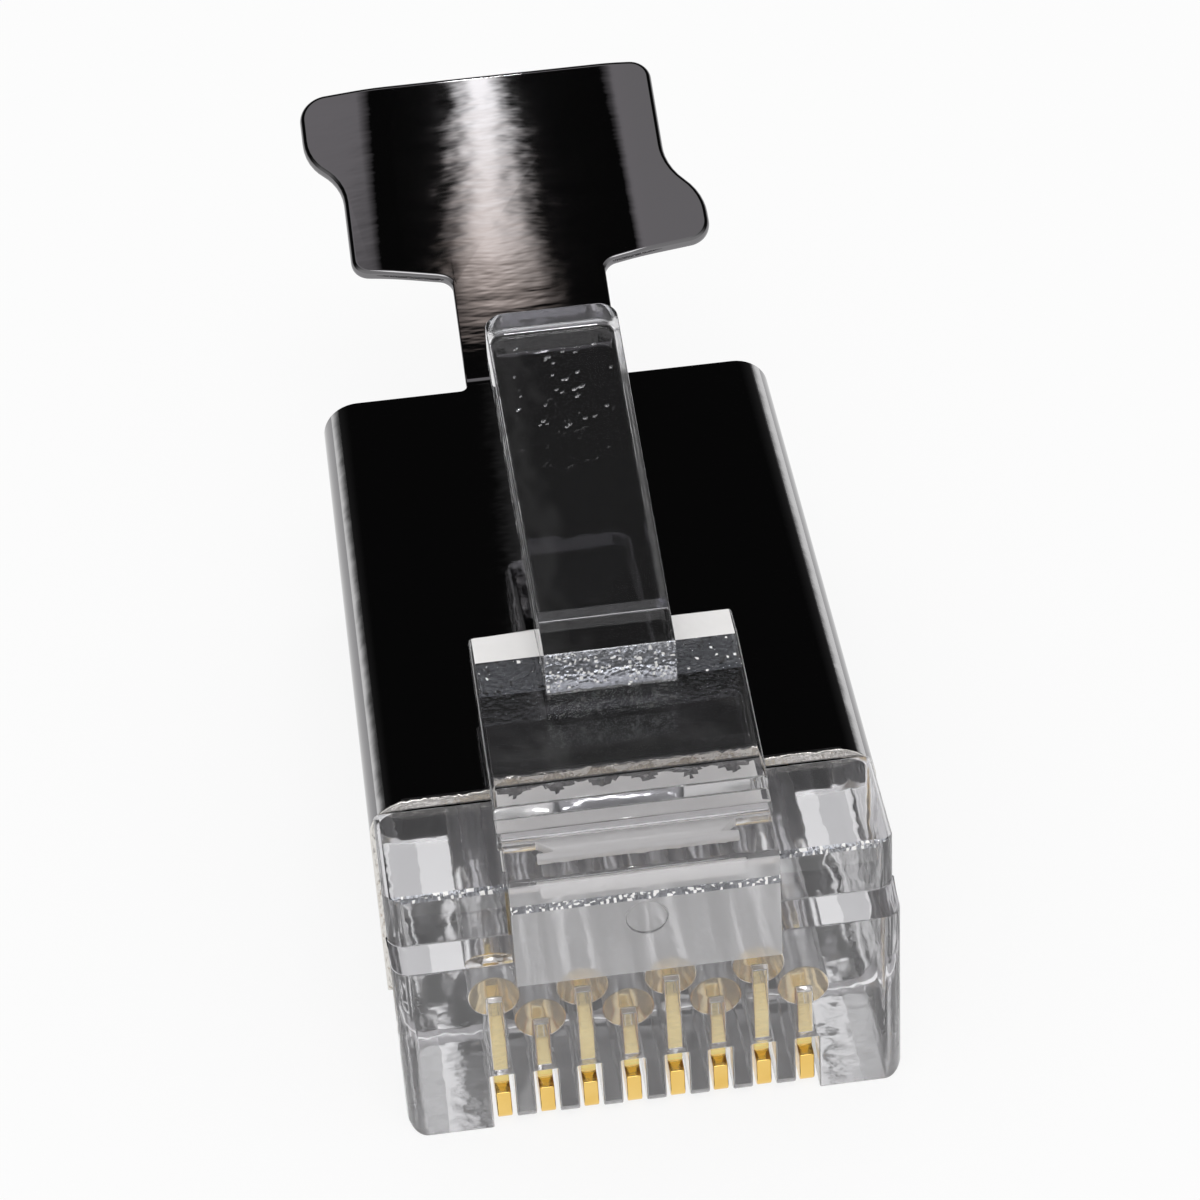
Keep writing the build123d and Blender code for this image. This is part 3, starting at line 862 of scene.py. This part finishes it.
@dataclass
class Latch:
    """Clear latch: arm, shoulders and lever, with the droplets that the mould left near the lever's end."""

    start: Vector = field(default_factory=lambda: Vector((0, 2.1, 8.0)) * MM)
    slope: float = math.radians(9)
    step_y: float = 5.25 * MM
    shield_front: float = 4.02 * MM
    step_along: float = 3.19 * MM
    step_half: float = 1.5 * MM
    arm_half: float = 3.05 * MM
    land: float = 4.42 * MM
    land_end: float = 5.42 * MM
    land_drop: float = 0.2 * MM
    frost_start: float = 3.35 * MM
    lever_rise: float = 1.15 * MM
    catch_y: float = 7.49 * MM
    near_catch: float = 0.04 * MM
    arc_sides: Pair = (1.3 * MM, 1.6 * MM)
    step_glints: float = 0.08
    shoulder_glints: float = 0.015
    droplet_count: int = 30
    droplet_zone: Pair = (10.6 * MM, 14.0 * MM)
    droplet_side: float = 1.25 * MM
    droplet_width: Pair = (0.03, 0.055)
    droplet_stretch: Pair = (1.2, 2.2)
    droplet_flat: float = 0.8
    droplet_turn: Pair = (15.0, 60.0)
    near_top: float = 0.1 * MM
    margin: float = 0.3 * MM

    def build(self, finishes: Finishes) -> bpy.types.Object:
        """Copies the CAD node and dresses it.

        Args:
            finishes: The plug's materials.

        Returns:
            The latch.
        """
        arm = Copy(
            "latch", "clear_latch", Body.LATCH, Slot.CLEAR,
            edge_share=self._share, dress=self._dress, textures=self._textures(),
        )
        piece = arm.make()
        arm.paint(finishes.arm)
        # Painted shade under the arm and the lever.
        arm.paint(finishes.arm_painted_shade, self._is_under)
        # Painted reflection: white strips on the lands.
        arm.paint(finishes.painted_light, self._is_land)
        frosted = arm.paint(finishes.frosted, self._is_rough)
        # Painted glints: white faces at random in the rough faces.
        arm.paint(finishes.painted_light, self._is_glint)
        log.info("latch: %d faces, %d of them frosted", len(piece.data.polygons), frosted)
        return piece

    def at(self, along: float, above: float, side: float = 0.0) -> Vector:
        """Finds a point by its place on the arm.

        Args:
            along: Distance along the arm from its front ridge.
            above: Distance above the arm's top face.
            side: Distance to the right of the middle.

        Returns:
            The point.
        """
        along_arm = Vector((0, math.cos(self.slope), math.sin(self.slope)))
        off_arm = Vector((0, -math.sin(self.slope), math.cos(self.slope)))
        return self.start + along_arm * along + off_arm * above + X * side

    def _place(self, point: Vector) -> tuple[float, float]:
        """Finds how far along and above the arm a point is."""
        offset = point - self.start
        along = offset.y * math.cos(self.slope) + offset.z * math.sin(self.slope)
        above = offset.z * math.cos(self.slope) - offset.y * math.sin(self.slope)
        return along, above

    def _share(self, middle: Vector, normals: list[Vector]) -> float:
        """Keeps the droplets' rims, and the tight arcs where the catch faces meet the lever, sharp."""
        along, above = self._place(middle)
        near, far = self.droplet_zone
        on_top = abs(above - self.lever_rise) < self.near_top
        inside = abs(middle.x) < self.droplet_side + self.margin / 2
        on_droplets = on_top and inside and near - self.margin < along < far + self.margin
        near_catch = abs(middle.y - self.catch_y) < self.near_catch
        on_arc = near_catch and self.arc_sides[0] < abs(middle.x) < self.arc_sides[1]
        return 0.0 if on_droplets or on_arc else 1.0

    def _dress(self, piece: bpy.types.Object) -> None:
        """Cuts the border of the textured shoulders, and adds the droplets."""
        scribe(
            piece, self.at(self.frost_start, 0), self.at(1, 0) - self.at(0, 0),
            lambda centre, normal: normal.z > FACING and abs(self._place(centre)[1]) < 2 * FLUSH,
        )
        scribe(
            piece, Y * self.shield_front, Y,
            lambda centre, normal: normal.z < -LEANING,
        )
        droplets = self._droplets()
        pick(piece)
        union = piece.modifiers.new("droplets", "BOOLEAN")
        union.operation = "UNION"
        union.solver = "EXACT"
        union.use_self = True
        union.object = droplets
        bpy.ops.object.modifier_apply(modifier=union.name)
        bpy.data.objects.remove(droplets)

    def _droplets(self) -> bpy.types.Object:
        """Models the droplets as flat, slightly turned beads.

        Returns:
            One object with all of them.
        """
        bpy.ops.object.select_all(action="DESELECT")
        beads = []
        for _ in range(self.droplet_count):
            along = random.uniform(*self.droplet_zone)
            place = self.at(along, self.lever_rise, self.droplet_side * random.uniform(-1, 1))
            bpy.ops.mesh.primitive_ico_sphere_add(subdivisions=2, radius=1.0, location=place)
            bead = bpy.context.active_object
            width = random.uniform(*self.droplet_width) * MM
            bead.scale = (width * random.uniform(*self.droplet_stretch), width, width * self.droplet_flat)
            bead.rotation_euler = (self.slope, 0, math.radians(random.uniform(*self.droplet_turn)))
            beads.append(bead)
        for bead in beads:
            bead.select_set(True)
        bpy.context.view_layer.objects.active = beads[0]
        bpy.ops.object.join()
        bpy.ops.object.transform_apply(location=True, rotation=True, scale=True)
        return bpy.context.active_object

    def _textures(self) -> list[Texture]:
        """Lists the textured step at the lever's front and the textured shoulders."""
        low, high = self.at(self.step_along, 0), self.at(self.step_along, self.lever_rise)
        middle = Vector((0, self.step_y, (low.z + high.z) / 2))
        sides = (X * self.step_half, Z * ((high.z - low.z) / 2))
        step = Texture(self._on_step, middle, sides)
        along = (self.frost_start + self.land) / 2
        reach = (self.at(self.land, 0) - self.at(self.frost_start, 0)) / 2
        sides = (X * self.arm_half, reach)
        return [step, Texture(self._on_shoulder, self.at(along, 0), sides)]

    def _on_step(self, centre: Vector, normal: Vector) -> bool:
        """Picks the lever's front step."""
        near_step = normal.y < -TURNED and abs(centre.y - self.step_y) < self.land_drop
        return near_step and centre.z > self.at(self.step_along, 3 * FLUSH).z

    def _on_shoulder(self, centre: Vector, normal: Vector) -> bool:
        """Picks the textured shoulders."""
        along, above = self._place(centre)
        return normal.z > LEANING and abs(above) < 3 * FLUSH and self.frost_start < along < self.land

    def _is_rough(self, centre: Vector, normal: Vector) -> bool:
        """Picks the faces with the mould's texture."""
        return self._on_step(centre, normal) or self._on_shoulder(centre, normal)

    def _is_glint(self, centre: Vector, normal: Vector) -> bool:
        """Picks a few of the rough faces by chance, for the painted glints in them."""
        share = self.step_glints if self._on_step(centre, normal) else self.shoulder_glints
        return self._is_rough(centre, normal) and random.random() < share

    def _is_under(self, centre: Vector, normal: Vector) -> bool:
        """Picks faces that look down from the arm or the lever, behind the shield's front edge, for painted
        shade.
        """
        return normal.z < -LEANING and centre.y > self.shield_front

    def _is_land(self, centre: Vector, normal: Vector) -> bool:
        """Picks the sloped land at the rear of a shoulder, which takes a painted reflection: a white strip.
        """
        along, above = self._place(centre)
        in_zone = self.land < along < self.land_end and -self.land_drop < above < -FLUSH
        return in_zone and normal.z > FACING


@dataclass
class Shield:
    """Folded sheet round the housing, with the crimp tail."""

    front_y: float = 4.02 * MM
    rear_y: float = 20.3 * MM
    top_z: float = 6.84 * MM
    flat_half: float = 5.0 * MM
    inner_half: float = 5.75 * MM
    arm_half: float = 3.05 * MM
    inner_low: float = 0.2 * MM
    inner_high: float = 6.65 * MM
    tail_slope: float = math.radians(25)
    roll_radius: float = 0.16 * MM
    plain_share: float = 0.2
    roll_start: float = 21.0 * MM
    roll_full: float = 24.0 * MM
    edge_reach: float = 0.06 * MM
    burr_depth: float = 0.12 * MM
    burr_height: float = 0.05 * MM
    burr_lean: Pair = (-0.3, 0.5)
    burr_cuts: int = 110

    def build(self, finishes: Finishes) -> bpy.types.Object:
        """Copies the CAD node and dresses it.

        Args:
            finishes: The plug's materials.

        Returns:
            The shield.
        """
        sheet = Copy(
            "shield", "plated_shield", Body.PLUG, Slot.PLATED,
            edge_radius=self.roll_radius, edge_segments=4, edge_share=self._share, dress=self._burr,
        )
        piece = sheet.make()
        sheet.paint(finishes.plated)
        inner = sheet.paint(finishes.inner, self._is_inner)
        shade_end = self.front_y + 2 * self.burr_depth
        sheet.paint(finishes.shaded_edge, lambda centre, normal: centre.y < shade_end)
        cut = sheet.paint(finishes.cut_edge, self._on_front_edge)
        log.info("shield: %d faces, %d inner, %d cut edge", len(piece.data.polygons), inner, cut)
        return piece

    def _share(self, middle: Vector, normals: list[Vector]) -> float:
        """Rolls the tail's upper rim over, as shearing does, and rounds the other edges a little."""
        up = Vector((0, -math.sin(self.tail_slope), math.cos(self.tail_slope)))
        on_rim = middle.y > self.roll_start and max(normal.dot(up) for normal in normals) > FACING
        grown = min(max((middle.y - self.roll_start) / (self.roll_full - self.roll_start), 0.0), 1.0)
        return self.plain_share + (1 - self.plain_share) * grown * on_rim

    def _burr(self, piece: bpy.types.Object) -> None:
        """Raises a ragged burr along the top of the front edge."""
        back = Y * (self.front_y + self.burr_depth)
        scribe(
            piece, back, Y,
            lambda centre, normal: normal.z > LEVEL and centre.z > self.top_z - FLUSH,
        )
        with editing(piece) as mesh:
            for edge in mesh.edges:
                ends = [vert.co for vert in edge.verts]
                level = all(abs(end.z - self.top_z) < FLUSH and end.y < back.y + FLUSH for end in ends)
                edge.select_set(level and abs(ends[0].x - ends[1].x) > self.flat_half)
            bpy.ops.mesh.subdivide(number_cuts=self.burr_cuts)
            for vert in mesh.verts:
                if abs(vert.co.y - self.front_y) < FLUSH and abs(vert.co.z - self.top_z) < FLUSH:
                    vert.co.z += self.burr_height * random.random() ** 2
                    vert.co.y += self.burr_height * random.uniform(*self.burr_lean)

    def _is_inner(self, centre: Vector, normal: Vector) -> bool:
        """Picks the inside of the tube."""
        across = abs(centre.x) < self.inner_half and self.inner_low < centre.z < self.inner_high
        return across and centre.y < self.rear_y

    def _on_front_edge(self, centre: Vector, normal: Vector) -> bool:
        """Picks the bare part of the sheared front edge, beside the arm."""
        under_arm = abs(centre.x) < self.arm_half and centre.z > self.inner_high
        return centre.y < self.front_y + self.edge_reach and not under_arm


@dataclass
class Contacts:
    """Eight gold-plated blades."""

    count: int = 8
    foot_top: float = 1.04 * MM
    edge_radius: float = 0.03 * MM

    def build(self, finishes: Finishes) -> list[bpy.types.Object]:
        """Copies the CAD nodes and dresses them.

        Args:
            finishes: The plug's materials.

        Returns:
            The blades.
        """
        blades = []
        for number in range(1, self.count + 1):
            name = f"gold_blade_{number}"
            blade = Copy(f"contact_{number}", name, Body.PLUG, Slot.GOLD, edge_radius=self.edge_radius)
            blades.append(blade.make())
            blade.paint(finishes.gold)
            # The blades' upper parts take the pale gold with its painted glow.
            blade.paint(finishes.pale_gold_painted_glow, lambda centre, normal: centre.z > self.foot_top)
        log.info("contacts: %d blades", len(blades))
        return blades


@dataclass
class Studio:
    """Pale floor, soft light and the camera that the photograph was taken with."""

    azimuth: float = math.radians(-4.728)
    elevation: float = math.radians(38.104)
    roll: float = math.radians(-3.727)
    distance: float = 92.551 * MM
    target: Vector = field(default_factory=lambda: Vector((0, 8, 4)) * MM)
    shift_right: float = -0.177 * MM
    shift_up: float = 3.881 * MM
    lens: float = 113.596
    sensor: float = 36.0
    floor_size: float = 3.0
    floor_share: float = 0.85
    fill_level: float = 0.8
    front_shift: float = 0.35
    front_span: Pair = (0.1, -0.5)
    front_level: float = 0.75
    room_levels: tuple[Stop, ...] = (
        (0.0, 1.0, WHITE), (0.05, 0.6, WHITE), (0.2, 0.05, WHITE), (0.5, 0.01, WHITE), (0.84, 0.01, WHITE),
        (0.89, 0.54, WHITE), (0.968, 0.6, (1.0, 0.96, 1.0)), (0.98, 0.01, WHITE),
    )
    streak_place: float = 0.048
    streak_half: float = 0.0194
    streak_taper: float = 0.084
    streak_least: float = 0.0045
    streak_soft: Pair = (1.9, 0.0)
    streak_start: Pair = (0.104, 0.126)
    streak_power: float = 38.0
    streak_levels: tuple[Stop, ...] = (
        (0.5, 0.0, WHITE), (0.62, 0.003, WHITE), (0.885, 0.005, WHITE), (0.9, 1.0, WHITE),
        (0.915, 1.0, WHITE), (0.95, 0.13, WHITE), (0.984, 0.13, WHITE), (0.992, 0.07, (1.0, 0.86, 0.78)),
    )

    lamps: tuple[tuple[str, Colour, Pair, float], ...] = (
        ("point_lamp", (0.024, 0.2, 0.4), (0.008, 0.008), 120.0),
        ("key_lamp", (0.0, -0.2, 0.42), (0.3, 0.2), 3.0),
    )

    def build(self) -> None:
        """Makes the camera, the floor, the world and the lamps."""
        bpy.context.scene.view_settings.view_transform = "Standard"
        self._camera()
        self._floor()
        self._world()
        self._lamps()
        cycles = bpy.context.scene.cycles
        cycles.max_bounces = 24
        cycles.transmission_bounces = 24
        cycles.glossy_bounces = 12

    def _camera(self) -> None:
        """Places the camera by the view that was fitted to the photograph."""
        a, e, r = self.azimuth, self.elevation, self.roll
        back = Vector((math.sin(a) * math.cos(e), -math.cos(a) * math.cos(e), math.sin(e)))
        level = Vector((math.cos(a), math.sin(a), 0))
        upright = back.cross(level)
        right = level * math.cos(r) + upright * math.sin(r)
        up = upright * math.cos(r) - level * math.sin(r)
        data = bpy.data.cameras.new("photo_camera")
        camera = bpy.data.objects.new("photo_camera", data)
        bpy.context.scene.collection.objects.link(camera)
        turn = Matrix((right, up, back)).transposed().to_4x4()
        place = self.target + back * self.distance + right * self.shift_right + up * self.shift_up
        camera.matrix_world = Matrix.Translation(place) @ turn
        data.lens = self.lens
        data.sensor_width = self.sensor
        data.clip_start = 1 * MM
        data.clip_end = 10.0
        bpy.context.scene.camera = camera

    def _floor(self) -> None:
        """Lays a white floor under the plug, which keeps a soft shadow."""
        bpy.ops.mesh.primitive_plane_add(size=self.floor_size, location=(0, 0, -0.005 * MM))
        floor = bpy.context.active_object
        floor.name = "floor"
        material = bpy.data.materials.new("white_floor")
        material.use_nodes = True
        tree = ShaderTree(material.node_tree)
        matt = tree.add("BsdfDiffuse")
        matt.inputs["Color"].default_value = (0.85, 0.85, 0.85, 1)
        glow = tree.add("Emission")
        path = tree.add("LightPath")
        seen = tree.maths("MAXIMUM", path.outputs["Is Camera Ray"], path.outputs["Is Transmission Ray"])
        seen = tree.maths("MAXIMUM", seen, path.outputs["Is Glossy Ray"])
        share = tree.maths("MULTIPLY", seen, self.floor_share)
        both = tree.mix_shaders(matt.outputs["BSDF"], glow.outputs["Emission"], share)
        tree.join(both, tree.add("OutputMaterial").inputs["Surface"])
        floor.data.materials.append(material)

    def _world(self) -> None:
        """Makes the room: white near the floor, dim above it, and pale overhead."""
        world = bpy.data.worlds.new("studio_room")
        bpy.context.scene.world = world
        world.use_nodes = True
        tree = ShaderTree(world.node_tree)
        place = tree.add("TexCoord")
        parts = tree.add("SeparateXYZ")
        tree.join(place.outputs["Generated"], parts.inputs["Vector"])
        room_colour = tree.ramp(parts.outputs["Z"], self.room_levels)
        path = tree.add("LightPath")
        ahead = tree.maths("MULTIPLY", path.outputs["Is Transmission Ray"], self.front_shift)
        ahead = tree.maths("SUBTRACT", parts.outputs["Y"], ahead)
        front = tree.rise(ahead, self.front_span, self.front_level, "SMOOTHSTEP")
        pale = tree.blend(room_colour, front, 1.0, "SCREEN")
        room = tree.add("Background")
        tree.join(self._streak(tree, parts, path, pale), room.inputs["Color"])
        fill = tree.add("Background")
        fill.inputs["Color"].default_value = (1, 1, 1, 1)
        fill.inputs["Strength"].default_value = self.fill_level
        seen = tree.maths("MAXIMUM", path.outputs["Is Transmission Ray"], path.outputs["Is Glossy Ray"])
        plain = tree.maths("MINIMUM", path.outputs["Diffuse Depth"], 1.0)
        share = tree.maths("SUBTRACT", seen, plain)
        lit = tree.mix_shaders(fill.outputs["Background"], room.outputs["Background"], share)
        white = tree.add("Background")
        white.inputs["Color"].default_value = (1, 1, 1, 1)
        both = tree.mix_shaders(lit, white.outputs["Background"], path.outputs["Is Camera Ray"])
        tree.join(both, tree.add("OutputWorld").inputs["Surface"])

    def _streak(
        self, tree: ShaderTree, parts: bpy.types.Node, path: bpy.types.Node, pale: bpy.types.NodeSocket
    ) -> bpy.types.NodeSocket:
        """Adds the narrow bright opening over and behind the plug, which the metal shows as a streak.

        Args:
            tree: The world's tree.
            parts: The node with the direction's three parts.
            path: The Light Path node. Rays that went through plastic don't see the opening.
            pale: The room's colour without the opening.

        Returns:
            The room's colour with the opening.
        """
        reach = tree.maths("MULTIPLY", parts.outputs["Y"], -self.streak_taper)
        reach = tree.maths("MAXIMUM", tree.maths("ADD", reach, self.streak_half), self.streak_least)
        off = tree.maths("ABSOLUTE", tree.maths("SUBTRACT", parts.outputs["X"], self.streak_place), 0.0)
        off = tree.maths("DIVIDE", off, reach)
        across = tree.rise(off, self.streak_soft, kind="SMOOTHSTEP")
        behind = tree.rise(parts.outputs["Y"], self.streak_start)
        levels = tree.ramp(parts.outputs["Z"], self.streak_levels)
        shape = tree.maths("MULTIPLY", across, behind)
        through = tree.maths("MINIMUM", path.outputs["Transmission Depth"], 1.0)
        shape = tree.maths("MULTIPLY", shape, tree.maths("SUBTRACT", 1.0, through))
        power = tree.add("VectorMath", operation="SCALE")
        tree.join(levels, power.inputs[0])
        tree.join(tree.maths("MULTIPLY", shape, self.streak_power), power.inputs["Scale"])
        return tree.blend(pale, power.outputs["Vector"], 1.0, "ADD")

    def _lamps(self) -> None:
        """Hangs a small bright lamp and a wide key lamp overhead. Both face down."""
        for name, place, size, brightness in self.lamps:
            data = bpy.data.lights.new(name, "AREA")
            data.shape = "RECTANGLE"
            data.size, data.size_y = size
            data.energy = brightness * math.pi * size[0] * size[1]
            lamp = bpy.data.objects.new(name, data)
            bpy.context.scene.collection.objects.link(lamp)
            lamp.location = place


def main() -> None:
    """Builds the plug's looks and the studio."""
    logging.basicConfig(level=logging.INFO, format="%(name)s: %(message)s")
    random.seed(7)
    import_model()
    finishes = Finishes()
    Housing().build(finishes)
    Latch().build(finishes)
    Shield().build(finishes)
    Contacts().build(finishes)
    Studio().build()


if __name__ == "__main__":
    main()
